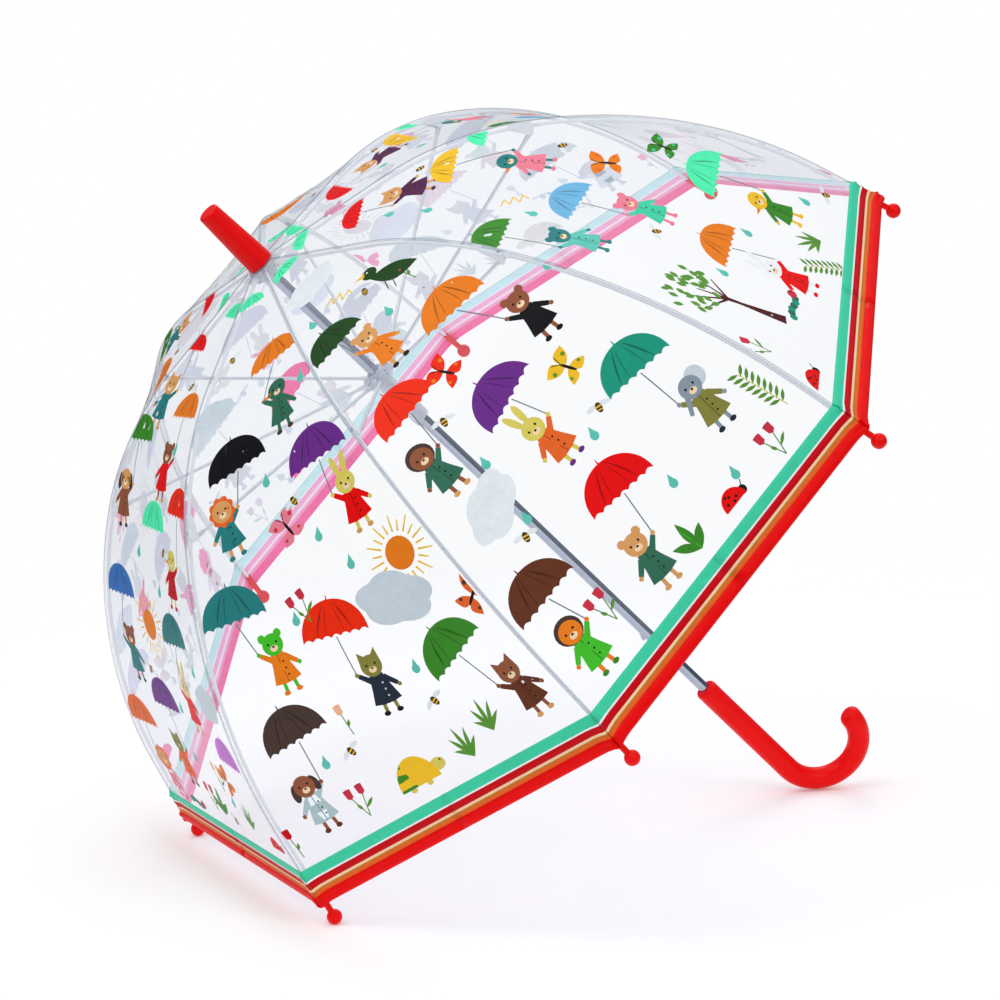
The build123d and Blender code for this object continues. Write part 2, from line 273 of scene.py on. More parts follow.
hinge_ring_radius = 0.0095
runner_ring_height = (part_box("runner_wire")[0].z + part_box("runner_wire")[1].z) / 2
hinge_wire_radius = 0.00045
ring = Tree("wire_ring", Radius=hinge_ring_radius, Wire=hinge_wire_radius)
ring_line = ring.node("GeometryNodeCurvePrimitiveCircle", {}, {
    "Resolution": 96, "Radius": ring.inputs.outputs["Radius"]})
ring_section = ring.node("GeometryNodeCurvePrimitiveCircle", {}, {
    "Resolution": 10, "Radius": ring.inputs.outputs["Wire"]})
ring_tube = ring.node("GeometryNodeCurveToMesh", {}, {0: ring_line, 1: ring_section})
ring.finish(ring_tube, zinc.material)
runner_ring = ring.make("runner_wire_ring", bpy.data.meshes.new("runner_wire_ring"))
runner_ring.data.transform(Matrix.Translation((0, 0, runner_ring_height)))
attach(runner_ring, "runner")
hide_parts("runner_wire")

# Ribs and stretchers
# Each rib is a glass-fibre rod in two lengths, with a clip in the same white at its elbow. A
# stretcher of thin steel rod, plated pale, runs from the clip down to the runner.
fibre = Finish("glass_fibre")
strands = fibre.noise(700, 4)
fibre.show(fibre.node("BsdfPrincipled", {}, {
    "Base Color": fibre.blend(strands, colour(226, 231, 236), colour(250, 251, 252)),
    "Roughness": 0.34 + strands * 0.2,
    "Specular IOR Level": 0.3,
    "Coat Weight": 0.1,
    "Normal": fibre.bump(strands, 0.00006),
}))
stretcher_steel = Finish("plated_stretcher")
plating = stretcher_steel.noise(300, 4)
stretcher_steel.show(stretcher_steel.node("BsdfPrincipled", {}, {
    "Base Color": stretcher_steel.blend(plating, colour(208, 214, 222), colour(236, 239, 243)),
    "Metallic": 0.3,
    "Roughness": 0.3 + plating * 0.2,
    "Normal": stretcher_steel.bump(plating, 0.00006),
}))
for n in rib_numbers:
    fibre.cover(*cad(f"rib_upper_{n}", f"rib_lower_{n}"))
    stretcher_steel.cover(*cad(f"stretcher_{n}"))

# Rib tips
# A tip with a ball on its end is pushed on each rib, and holds the film's corner. The tips are
# moulded in the same red plastic as the handle.
for n in rib_numbers:
    red_plastic.cover(*cad(f"rib_tip_{n}"))

# Film
# Eight gores of clear sheet, stretched from rib to rib and sagging a little between them. Each rib
# carries the halves of the gores beside it, an upper and a lower length that meet at the elbow, so
# that the sheet folds with the ribs. Neighbouring halves meet down the middle of their gore.
crown_slope = math.radians(9.0)
crown_run = 0.102
shoulder_radius = 0.232
shoulder_turn = math.radians(27.4)
flank_radius = 0.349
flank_turn = math.radians(35.6)
skirt_run = 0.053
gore_angle = math.radians(45.0)
hem_width = 0.028
apex_height = 0.539
shoulder_run = shoulder_radius * shoulder_turn
flank_run = flank_radius * flank_turn
elbow_down = crown_run + shoulder_run
film_down = elbow_down + flank_run + skirt_run
film_start = 0.0047
film_edge_gap = 0.001
film_sag = 0.02
sag_fade_run = 0.06
flat_above_hem = 0.004
film_rows = 44
film_columns = 12
line_samples = 1500


def along(slope):
    return np.array([math.cos(slope), -math.sin(slope)])


def inward(slope):
    return np.array([-math.sin(slope), -math.cos(slope)])


def rib_line(down):
    """The film's outer line over a rib, a distance down from the apex: radius, height, slope."""
    elbow_slope = crown_slope + shoulder_turn
    skirt_slope = elbow_slope + flank_turn
    start = along(crown_slope) * crown_run
    centre = start + inward(crown_slope) * shoulder_radius
    elbow = centre - inward(elbow_slope) * shoulder_radius
    flank_centre = elbow + inward(elbow_slope) * flank_radius
    flank_end = flank_centre - inward(skirt_slope) * flank_radius
    if down < crown_run:
        place, slope = along(crown_slope) * down, crown_slope
    elif down < elbow_down:
        slope = crown_slope + (down - crown_run) / shoulder_radius
        place = centre - inward(slope) * shoulder_radius
    elif down < elbow_down + flank_run:
        slope = elbow_slope + (down - elbow_down) / flank_radius
        place = flank_centre - inward(slope) * flank_radius
    else:
        slope = skirt_slope
        place = flank_end + along(slope) * (down - elbow_down - flank_run)
    return place[0], apex_height + place[1], slope


downs = np.linspace(0, film_down + flat_above_hem, line_samples)
radii, heights, slopes = np.array([rib_line(down) for down in downs]).T


def gore_width(down):
    return 2 * np.interp(down, downs, radii) * math.sin(gore_angle / 2)


def on_film(gore, down, share, lift=0.0):
    """Points on a gore: down from the apex, share 0 to 1 from its rib to the next, lift off it."""
    down, share, lift = (np.asarray(v, float) for v in (down, share, lift))
    radius = np.interp(down, downs, radii)
    height = np.interp(down, downs, heights)
    slope = np.interp(down, downs, slopes)
    middle = (gore - 0.5) * gore_angle
    reach = radius * math.cos(gore_angle / 2)
    aside = radius * math.sin(gore_angle / 2) * (2 * share - 1)
    outward = np.sin(slope)
    upward = np.cos(slope) * math.cos(gore_angle / 2)
    length = np.hypot(outward, upward)
    fade = np.clip((film_down - hem_width - flat_above_hem - down) / sag_fade_run, 0, 1)
    fade = fade * fade * (3 - 2 * fade)
    lift = lift - film_sag * gore_width(down) * np.sin(np.pi * np.clip(share, 0, 1)) * fade
    reach = reach + lift * outward / length
    height = height + lift * upward / length
    return np.stack([
        reach * math.cos(middle) - aside * math.sin(middle),
        reach * math.sin(middle) + aside * math.cos(middle),
        height,
    ], axis=-1)


def gore_beside(n, side):
    """The gore on one side of a rib: side 1 is the gore after it, and -1 the gore before."""
    return n if side > 0 else (n - 2) % 8 + 1


def half_name(kind, n, side, lower):
    return f"{kind}_{'lower' if lower else 'upper'}_{n}{'a' if side > 0 else 'b'}"


def fold_with_rib(piece, n, side, lower):
    """Makes a half gore's piece ride its rib."""
    turn = (n - 1) * gore_angle
    middle = (gore_beside(n, side) - 0.5) * gore_angle
    chord = Vector((-math.sin(middle), math.cos(middle), 0)) * side
    first, last = (elbow_down, film_down) if lower else (film_start, elbow_down)
    ends = [Vector((r * math.cos(turn), r * math.sin(turn), z))
            for r, z, _ in (rib_line(first), rib_line(last))]
    rib = (ends[1] - ends[0]).normalized()
    across = (chord - rib * chord.dot(rib)).normalized()
    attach(piece, f"rib_end_{n}" if lower else f"rib_{n}")
    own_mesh(piece)


def grid_faces(rows, columns, flip):
    faces = []
    for row in range(rows - 1):
        for column in range(columns - 1):
            a = row * columns + column
            face = (a, a + columns, a + columns + 1, a + 1)
            faces.append(face[::-1] if flip else face)
    return faces


clear_film = Finish("clear_film")
creases = clear_film.noise(16, 5, (1, 1, 0.35))
ripples = clear_film.noise(70, 3)
film_skin = clear_film.node("BsdfPrincipled", {}, {
    "Base Color": clear_film.blend(creases, colour(218, 226, 238), colour(240, 244, 250)),
    "Roughness": 0.07 + ripples * 0.1,
    "IOR": 1.5,
    "Specular IOR Level": 0.6,
    "Normal": clear_film.bump(creases * 0.8 + ripples * 0.2, 0.0035, 0.7),
})
grazing = clear_film.node("LayerWeight", {}, {"Blend": 0.5}, output=1)
film_share = 0.085 + 0.4 * grazing ** 2.6 + 0.06 * creases ** 2.0
clear_film.see_through(film_share, (0.966, 0.974, 0.984, 1), film_skin)

film_pieces = {}
for n in rib_numbers:
    for side in (1, -1):
        for lower in (False, True):
            first, last = (elbow_down, film_down - film_edge_gap) if lower else (film_start, elbow_down)
            rows = np.linspace(first, last, film_rows)
            shares = np.linspace(0, 0.5, film_columns)
            if side < 0:
                shares = 1 - shares
            down, share = np.meshgrid(rows, shares, indexing="ij")
            points = on_film(gore_beside(n, side), down, share).reshape(-1, 3)
            label = half_name("film", n, side, lower)
            piece = stand(label, mesh_of(label, points, grid_faces(film_rows, film_columns, side < 0)))
            clear_film.cover(piece)
            fold_with_rib(piece, n, side, lower)
            widths = gore_width(rows) / 2
            area = float(np.sum((widths[1:] + widths[:-1]) / 2 * np.diff(rows)))
            cut = (float(widths.max()), float(last - first))
            film_pieces[label] = (piece, cut, min(area, cut[0] * cut[1]))
    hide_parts(f"canopy_upper_{n}")
    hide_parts(f"canopy_lower_{n}")

# Welds
# Neighbouring gores are welded together over each rib, in a narrow frosted strip with a line pressed
# along both sides of it. The strips run along the rib's own line and follow its two lengths.
frosted = Finish("frosted_weld")
mottle = frosted.noise(520, 2)
weld_skin = frosted.node("BsdfPrincipled", {}, {
    "Base Color": frosted.blend(mottle, colour(150, 160, 172), colour(206, 212, 220)),
    "Roughness": 0.3 + mottle * 0.2,
    "IOR": 1.5,
    "Normal": frosted.bump(mottle, 0.0002),
})
frosted.see_through(0.06 + 0.1 * mottle, (0.93, 0.945, 0.96, 1), weld_skin)

pressed = Finish("pressed_line")
dimples = pressed.noise(900, 2)
pressed_skin = pressed.node("BsdfPrincipled", {}, {
    "Base Color": pressed.blend(dimples, colour(126, 134, 144), colour(176, 184, 192)),
    "Roughness": 0.35 + dimples * 0.2,
    "Specular IOR Level": 0.3,
})
pressed.see_through(0.25 + 0.5 * dimples, (0.9, 0.91, 0.93, 1), pressed_skin)

weld_lift = 0.0002
weld_start = 0.0125
weld_points = 60
weld = Tree("weld_strip", Width=0.0019, Thickness=0.0001, Edge=0.0002)
weld_sizes = weld.inputs.outputs
weld_path = weld.node("GeometryNodeMeshToCurve", {}, {0: weld_sizes["Geometry"]})
weld_path = weld.node("GeometryNodeSetCurveNormal", {"mode": "Z_UP"}, {0: weld_path})
weld_band = weld.node("GeometryNodeCurvePrimitiveQuadrilateral", {}, {
    "Width": weld_sizes["Width"], "Height": weld_sizes["Thickness"]})
weld_edge = weld.node("GeometryNodeCurvePrimitiveQuadrilateral", {}, {
    "Width": weld_sizes["Edge"], "Height": weld_sizes["Edge"]})
sections = [(weld_band, frosted)]
for side in (0.5, -0.5):
    offset = weld.node("ShaderNodeMath", {"operation": "MULTIPLY"}, {0: weld_sizes["Width"], 1: side})
    shift = weld.node("ShaderNodeCombineXYZ", {}, {0: offset})
    edge = weld.node("GeometryNodeTransform", {}, {0: weld_edge, "Translation": shift})
    sections.append((edge, pressed))
joined = weld.group.nodes.new("GeometryNodeJoinGeometry")
for section, finish in sections:
    swept = weld.node("GeometryNodeCurveToMesh", {}, {0: weld_path, 1: section, "Fill Caps": True})
    swept = weld.node("GeometryNodeSetMaterial", {}, {0: swept, "Material": finish.material})
    weld.group.links.new(swept, joined.inputs[0])
weld.finish(joined.outputs[0])

for n in rib_numbers:
    for lower in (False, True):
        first, last = (elbow_down, film_down - hem_width) if lower else (weld_start, elbow_down)
        turn = (n - 1) * gore_angle
        line = []
        for down in np.linspace(first, last, weld_points):
            radius, height, slope = rib_line(down)
            radius += weld_lift * math.sin(slope)
            height += weld_lift * math.cos(slope)
            line.append((radius * math.cos(turn), radius * math.sin(turn), height))
        label = f"weld_{'lower' if lower else 'upper'}_{n}"
        path = mesh_of(label, line, [], [(i, i + 1) for i in range(weld_points - 1)])
        piece = weld.make(label, path)
        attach(piece, f"rib_end_{n}" if lower else f"rib_{n}")

# Print
# Opaque inks are screened on the outside of the film: small umbrellas carried by animals in coats,
# with weather, insects and plants between them. Seen from inside, the inks look pale, and their
# backlight is painted: they are brightened and glow in their own colour, in place of light coming
# through the film. Each shape is drawn flat, in millimetres, and then laid on the film as a skin of ink.
palette = {
    "mint": (66, 212, 168), "spring": (84, 246, 182), "red": (240, 4, 6), "scarlet": (246, 44, 8),
    "crimson": (204, 2, 18), "orange": (240, 128, 26), "tangerine": (236, 104, 40),
    "ochre": (204, 124, 34), "yellow": (246, 196, 40), "straw": (222, 208, 96),
    "green": (60, 140, 40), "forest": (32, 72, 30), "lime": (70, 196, 44), "leaf": (92, 152, 52),
    "olive": (138, 134, 60), "teal": (40, 128, 128), "jade": (30, 156, 128), "pine": (52, 112, 88),
    "aqua": (96, 200, 184), "sky": (112, 184, 226), "blue": (58, 116, 190), "navy": (36, 46, 62),
    "black": (22, 22, 26), "purple": (110, 46, 140), "plum": (88, 34, 76), "lilac": (206, 120, 220),
    "pink": (240, 130, 150), "rose": (210, 50, 70), "peach": (248, 186, 150), "brown": (104, 52, 30),
    "umber": (74, 56, 50), "bark": (84, 24, 26), "tan": (222, 160, 96), "nut": (150, 88, 60),
    "sand": (226, 202, 150), "grey": (206, 218, 226), "cloud": (232, 239, 242),
    "slate": (140, 154, 168), "stem": (128, 132, 136), "white": (246, 248, 250),
    "cream": (250, 218, 176), "mist": (176, 200, 204),
}
palette |= {name + "_deep": tuple(0.74 * v for v in shade) for name, shade in palette.items()}
# The hem's stripes as seen from inside, brightened with painted backlight in place of light coming through
# the film.
inside_backlit_tint = {"red": (255, 72, 156), "crimson": (255, 172, 212), "tangerine": (255, 150, 198),
               "ochre": (255, 196, 220), "mint": (206, 242, 244), "cream": (255, 238, 248),
               "white": (250, 250, 254)}
ink_names = list(palette)


class Pen:
    """Draws in millimetres round a place on a gore, with the apex up, turned and scaled if need be."""

    def __init__(self, drawn, down, across, turn=0.0, size=1.0):
        self.drawn = drawn
        self.down, self.across, self.size = down, across, size
        self.cos, self.sin = math.cos(math.radians(turn)), math.sin(math.radians(turn))

    def place(self, x, y):
        """A point of the drawing, as millimetres across and down the gore."""
        return (self.across + self.size * (x * self.cos - y * self.sin),
                self.down - self.size * (x * self.sin + y * self.cos))

    def patch(self, points, ink):
        self.drawn.append(([self.place(x, y) for x, y in points], ink))

    def disc(self, x, y, width, height, ink, lean=0.0):
        cos, sin = math.cos(math.radians(lean)), math.sin(math.radians(lean))
        ring = [(math.cos(a) * width / 2, math.sin(a) * height / 2)
                for a in np.linspace(0, 2 * math.pi, 20, endpoint=False)]
        self.patch([(x + u * cos - v * sin, y + u * sin + v * cos) for u, v in ring], ink)

    def stroke(self, start, end, width, ink, end_width=None):
        (a, b), (c, d) = start, end
        long = math.hypot(c - a, d - b) or 1
        u, v = -(d - b) / long / 2, (c - a) / long / 2
        far = width if end_width is None else end_width
        self.patch([(a + u * width, b + v * width), (a - u * width, b - v * width),
                    (c - u * far, d - v * far), (c + u * far, d + v * far)], ink)

    def blade(self, start, end, width, ink, bend=0.0):
        """A leaf or a wing: pointed at both ends, and bent to one side."""
        (a, b), (c, d) = start, end
        long = math.hypot(c - a, d - b) or 1
        u, v = -(d - b) / long, (c - a) / long
        outline = []
        for way, steps in ((1, np.linspace(0, 1, 8)), (-1, np.linspace(1, 0, 8)[1:-1])):
            for t in steps:
                wide = way * width / 2 * math.sin(math.pi * t) + bend * math.sin(math.pi * t)
                outline.append((a + (c - a) * t + u * wide, b + (d - b) * t + v * wide))
        self.patch(outline, ink)


def umbrella(pen, ink, width=52.0):
    half, tall = width / 2, width * 0.5
    base = -tall * 0.4
    outline = [(half * math.cos(a), base + tall * math.sin(a) ** 0.92)
               for a in np.linspace(0.0, math.pi, 26)]
    for i in range(7):
        for t in (0.3, 0.5, 0.7) if i == 0 else (0.0, 0.3, 0.5, 0.7):
            x = -half + (i + t) * width / 7
            outline.append((x, base + 1.9 * math.sin(math.pi * t)))
    pen.stroke((0, base + tall - 1), (0, base + tall + 3.2), 1.4, ink, 0.5)
    pen.patch(outline, ink)
    for foot in (-2, -1, 1, 2):
        side = half * foot / 3.5
        pen.blade((side * 0.25, base + tall * 0.94), (side, base + 1.2), 0.7, ink + "_deep", side * 0.07)


def head(pen, kind, ink, x=0.0, y=12.0):
    if kind == "cat":
        pen.patch([(x - 8.5, y + 1), (x - 7.5, y + 12), (x - 1, y + 6)], ink)
        pen.patch([(x + 8.5, y + 1), (x + 7.5, y + 12), (x + 1, y + 6)], ink)
    elif kind == "bear":
        pen.disc(x - 7, y + 6.5, 6.5, 6.5, ink)
        pen.disc(x + 7, y + 6.5, 6.5, 6.5, ink)
    elif kind == "rabbit":
        pen.disc(x - 4, y + 14, 5.4, 17, ink, 10)
        pen.disc(x + 4, y + 14, 5.4, 17, ink, -12)
    elif kind == "flop":
        pen.disc(x - 9, y - 2, 7, 14, "umber", -14)
        pen.disc(x + 9, y - 1, 7, 13, "umber", 14)
    elif kind == "child":
        pen.disc(x, y + 1.5, 22, 20, "umber")
    elif kind == "mane":
        outline = []
        for a in np.linspace(0, 2 * math.pi, 54, endpoint=False):
            reach = 10 + 2 * abs(math.sin(4.5 * a))
            outline.append((x + reach * math.cos(a), y + reach * math.sin(a)))
        pen.patch(outline, "tangerine")
    elif kind == "beak":
        pen.patch([(x - 6, y), (x - 16, y - 2), (x - 7, y - 4)], "orange")
    elif kind == "trunk":
        pen.disc(x + 8, y + 3, 15, 16, "grey")
        pen.stroke((x - 6, y - 3), (x - 13, y - 15), 4.4, ink, 3)
    pen.disc(x, y, 17.5, 16.5, ink)
    pen.disc(x, y - 3, 6.5, 4.6, "cream" if ink != "cream" else "tan")
    pen.disc(x - 3.6, y + 1, 1.7, 1.9, "black")
    pen.disc(x + 3.6, y + 1, 1.7, 1.9, "black")
    pen.disc(x, y - 1.8, 2.2, 1.5, "black")


def figure(pen, kind, ink, coat, boots="umber", hand=1):
    """An animal or a child in a coat, about 50 mm tall, with one hand up to hold a stem."""
    for foot in (-4.2, 4.2):
        pen.stroke((foot, -14), (foot * 1.15, -23), 3.0, ink)
        pen.disc(foot * 1.3, -24, 5.4, 3.6, boots)
    pen.stroke((hand * -5, 2), (hand * -13.5, -6), 4.6, coat, 3.6)
    pen.disc(hand * -14.5, -7, 3.4, 3.4, ink)
    pen.stroke((hand * 5, 1), (hand * 13, 8), 4.6, coat, 3.6)
    pen.disc(hand * 14, 9, 3.4, 3.4, ink)
    pen.patch([(-5.5, 5), (5.5, 5), (8, -5), (11.5, -16), (4, -17.4), (-4, -17.4), (-11.5, -16),
               (-8, -5)], coat)
    pen.stroke((0, 4), (0, -16.8), 0.8, coat + "_deep")
    for button in (-2, -7, -12):
        pen.disc(2.4, button, 1.5, 1.5, "black" if coat != "navy" else "grey")
    head(pen, kind, ink)


def stem(drawn, start, end):
    pen = Pen(drawn, 0, 0)
    pen.stroke((start[0], -start[1]), (end[0], -end[1]), 0.9, "stem")


def pair(drawn, down, across, ink, below, beside, kind, fur, coat, turn=0, boots="umber", width=52):
    """An umbrella and the one who carries it. The stem runs from one to the other's raised hand."""
    top = Pen(drawn, down, across, turn)
    hand = 1 if across >= beside else -1
    holder = Pen(drawn, below, beside, turn * 0.5, 0.95)
    stem(drawn, top.place(0, -width * 0.2), holder.place(hand * 14, 9))
    figure(holder, kind, fur, coat, boots, hand)
    umbrella(top, ink, width)


def cloud(drawn, down, across, ink="cloud", width=50.0, turn=0):
    pen = Pen(drawn, down, across, turn)
    outline = []
    for a in np.linspace(0, 2 * math.pi, 64, endpoint=False):
        swell = 1 + 0.17 * abs(math.sin(2.5 * a + 0.5))
        outline.append((width / 2.2 * swell * math.cos(a), width / 3.6 * swell * math.sin(a)))
    pen.patch(outline, ink)


def sun(drawn, down, across):
    pen = Pen(drawn, down, across)
    for i in range(22):
        a = 2 * math.pi * i / 22
        inner, outer = 14.5, (26 if i % 2 else 22)
        pen.stroke((inner * math.cos(a), inner * math.sin(a)),
                   (outer * math.cos(a), outer * math.sin(a)), 1.5, "yellow", 0.9)
    pen.disc(0, 0, 23, 23, "orange")


def butterfly(drawn, down, across, ink, spot="black", turn=20, size=1.0):
    pen = Pen(drawn, down, across, turn, size)
    for way in (-1, 1):
        pen.blade((0, 2), (way * 13, 11), 10, ink, way * 2)
        pen.blade((0, 0), (way * 11, -8), 8, ink, way * -2)
        pen.disc(way * 8, 7, 3.2, 3.2, spot)
        pen.disc(way * 7, -5, 2.4, 2.4, spot)
        pen.stroke((0, 6), (way * 3.4, 12), 0.6, "black")
    pen.disc(0, 0, 2.2, 13, "black")


def bee(drawn, down, across, turn=0):
    pen = Pen(drawn, down, across, turn)
    pen.disc(-5, 1.5, 8, 3.6, "cloud", 12)
    pen.disc(5, 1.5, 8, 3.6, "cloud", -12)
    pen.disc(0, 0, 4.6, 7.5, "umber")
    pen.stroke((-2, 0.8), (2, 0.8), 1.1, "yellow")
    pen.stroke((-1.8, -1.6), (1.8, -1.6), 0.9, "yellow")


def drop(drawn, down, across, ink="aqua"):
    pen = Pen(drawn, down, across, -14)
    pen.patch([(0, 6)] + [(3.1 * math.cos(a), -1.4 + 3.3 * math.sin(a))
                          for a in np.linspace(0.9, -math.pi - 0.9, 14)], ink)


def grass(drawn, down, across, turn=0, ink="leaf"):
    pen = Pen(drawn, down, across, turn)
    for lean, tall in ((-46, 15), (-24, 21), (-4, 25), (18, 22), (40, 16)):
        a = math.radians(90 - lean)
        pen.blade((0, -10), (tall * math.cos(a), -10 + tall * math.sin(a)), 3.0, ink, lean * 0.03)


def leaves(drawn, down, across, turn=0, ink="lime"):
    pen = Pen(drawn, down, across, turn)
    for lean, tall in ((-42, 20), (4, 24), (46, 17)):
        a = math.radians(90 - lean)
        pen.blade((0, -10), (tall * math.cos(a), -10 + tall * math.sin(a)), 6.4, "green", lean * 0.02)
    pen.stroke((0, -10), (0, 8), 0.6, ink)


def flower(drawn, down, across, ink="rose", turn=0, heads=2):
    pen = Pen(drawn, down, across, turn)
    for way in (0,) if heads == 1 else (-1, 1):
        pen.stroke((0, -11), (way * 5, 6), 0.8, "leaf")
        pen.blade((way * 1.5, -5), (way * 7 + 3, 0), 2.4, "leaf")
        pen.patch([(way * 5 - 3, 12), (way * 5 - 1, 9.4), (way * 5, 12.4), (way * 5 + 1, 9.4),
                   (way * 5 + 3, 12), (way * 5 + 2.6, 6), (way * 5, 4.4), (way * 5 - 2.6, 6)], ink)


def twig(drawn, down, across, turn=0, ink="leaf"):
    pen = Pen(drawn, down, across, turn)
    pen.stroke((0, -20), (0, 18), 0.7, "straw")
    for i in range(8):
        y = -16 + i * 4.6
        pen.blade((0, y), (7, y + 4.5), 2.6, ink)
        pen.blade((0, y + 2), (-7, y + 6.5), 2.6, ink)


def ladybird(drawn, down, across, turn=0):
    pen = Pen(drawn, down, across, turn)
    pen.stroke((9, 0), (13, 5), 0.7, "black")
    pen.disc(9, -0.6, 6.5, 6.5, "black")
    pen.patch([(10 * math.cos(a), -3.5 + 11 * math.sin(a)) for a in np.linspace(0, math.pi, 16)], "red")
    for x, y in ((-5, 0), (-1, 3), (3, 0), (0, -1.4), (-3, 4.6)):
        pen.disc(x, y, 1.9, 1.9, "black")


def tortoise(drawn, down, across, turn=0):
    pen = Pen(drawn, down, across, turn)
    for foot in (-8, 6):
        pen.disc(foot, -9.5, 5, 4, "straw")
    pen.disc(19, -1, 12, 9, "straw")
    pen.disc(22, 1, 1.5, 1.5, "black")
    pen.patch([(17 * math.cos(a), -8.5 + 21 * math.sin(a)) for a in np.linspace(0, math.pi, 20)], "yellow")
    pen.patch([(-17, -8.5), (-14.5, 2), (-8, 10), (-3.5, -8.5)], "green")


def tree(drawn, down, across, turn=0):
    pen = Pen(drawn, down, across, turn)
    pen.patch([(-3.6, -44), (4.6, -44), (1.6, -10), (2.4, 4), (-1.6, 4), (-1.2, -10)], "bark")
    for x, y in ((-15, 15), (-7, 21), (1, 23), (10, 19), (16, 12)):
        pen.stroke((0, 0), (x, y), 2.2, "bark", 0.9)
    scatter = random.Random(4)
    for _ in range(34):
        a, reach = scatter.uniform(0, 2 * math.pi), math.sqrt(scatter.random())
        x, y = 26 * reach * math.cos(a), 24 + 19 * reach * math.sin(a)
        lean = math.radians(90 + scatter.uniform(-38, 38))
        pen.blade((x, y), (x + 8 * math.cos(lean), y + 8 * math.sin(lean)), 4.2, "leaf")


def lightning(drawn, down, across, turn=0, size=0.78):
    pen = Pen(drawn, down, across, turn, size)
    zigzag = [(-14, -4), (-8, 5), (-5, -4), (1, 6), (4, -4), (10, 5), (14, -2)]
    for start, end in zip(zigzag, zigzag[1:]):
        pen.stroke(start, end, 1.3, "yellow")


def bird(drawn, down, across, ink="forest", turn=0, face=-1):
    pen = Pen(drawn, down, across, turn)
    for foot in (0, 6):
        pen.stroke((foot, -6), (foot + 4, -16), 0.8, "umber")
    pen.blade((face * -26, 1), (face * 12, -1), 15, ink, 2)
    pen.disc(face * 12, 4, 12, 11, ink)
    pen.patch([(face * 16, 6), (face * 25, 1), (face * 16, 2)], "yellow")
    pen.disc(face * 14, 5.5, 1.5, 1.5, "white")


def caterpillar(drawn, down, across, turn=0, ink="pine"):
    pen = Pen(drawn, down, across, turn)
    for i in range(6):
        pen.disc(-12 + i * 4.2, 1.6 * math.sin(i * 1.1), 6, 6, ink if i % 2 else "jade")
    pen.disc(12.6, 1.2, 7.4, 7.4, "rose")
    pen.disc(14, 2.4, 1.5, 1.5, "black")


def strew(drawn, drops, bees, turn):
    """Drops and bees, in the gaps that the rest of a gore leaves."""
    for down, across in drops:
        drop(drawn, down, across)
    for down, across in bees:
        bee(drawn, down, across, turn)


def front_gore(d):
    """The gore whose figures stand on grass, under the sun."""
    umbrella(Pen(d, 41, -4), "spring", 25)
    pair(d, 112, 22, "orange", 158, 24, "beak", "pine", "pine", 4, width=44)
    cloud(d, 134, -34, "grey", 34)
    pair(d, 179, -22, "black", 222, -43, "mane", "tan", "teal", 2, "teal")
    pair(d, 206, 44, "purple", 252, 58, "rabbit", "straw", "red", 2, "tan")
    butterfly(d, 247, 2, "pink", "rose")
    sun(d, 302, 74)
    cloud(d, 326, 54, "grey", 58, -20)
    pair(d, 275, -64, "teal", 322, -48, "bear", "lime", "orange", -9, "orange")
    pair(d, 318, 2, "scarlet", 368, 10, "cat", "olive", "navy", -14, "black")
    pair(d, 366, -68, "umber", 416, -84, "flop", "nut", "mist", 2, "brown")
    pair(d, 370, 70, "green", 416, 100, "cat", "nut", "brown", 20, "tan")
    tortoise(d, 434, -6, 0)
    grass(d, 433, 39, 6)
    grass(d, 424, 64, -4)
    flower(d, 433, -54, "rose")
    flower(d, 380, -29, "peach", 0, 1)
    flower(d, 300, -14, "rose", 10)
    flower(d, 436, -118, "crimson", 0, 1)
    butterfly(d, 351, 106, "tangerine", "umber", -50)
    strew(d, ((150, 46), (208, -2), (262, 22), (290, 36), (304, -22), (372, 40), (398, -60)),
          ((232, 14), (398, 38), (400, -38), (92, -18)), 25)


def side_gore(d):
    """The gore over the handle, with a cloud, a ladybird and four umbrellas."""
    umbrella(Pen(d, 38, 1), "spring", 25)
    cloud(d, 82, -4, "cloud", 44)
    pair(d, 147, -32, "forest", 182, -19, "bear", "tan", "orange", 0, "black", 44)
    pair(d, 205, 30, "orange", 258, 54, "bear", "nut", "black", -10, "black", 50)
    pair(d, 228, -46, "scarlet", 276, -66, "child", "nut", "pine", 2, "tan", 50)
    pair(d, 276, -2, "purple", 322, -6, "rabbit", "straw", "tangerine", 12, "purple")
    pair(d, 333, 66, "jade", 386, 76, "trunk", "slate", "olive", -9, "navy")
    pair(d, 374, -2, "red", 422, -26, "bear", "tan", "pine", -9, "tan")
    pair(d, 378, -88, "brown", 424, -96, "child", "orange", "lime", 0, "green")
    butterfly(d, 238, -10, "scarlet", "orange", 24, 0.95)
    butterfly(d, 303, 39, "yellow", "leaf", 20, 0.95)
    cloud(d, 322, -64, "cloud", 50, 30)
    lightning(d, 122, -4, -42)
    ladybird(d, 442, 38)
    leaves(d, 436, 0, 4)
    twig(d, 412, 106, 10)
    flower(d, 440, 84, "rose")
    flower(d, 420, -70, "rose", 0)
    flower(d, 160, 32, "rose", 6, 1)
    bird(d, 143, 26, "forest", -46)
    strew(d, ((344, 14), (246, 86), (300, -44), (344, -56), (404, 22), (432, 52), (170, 4), (119, -29)),
          ((260, -38), (336, 30), (352, -66), (140, 8)), -20)


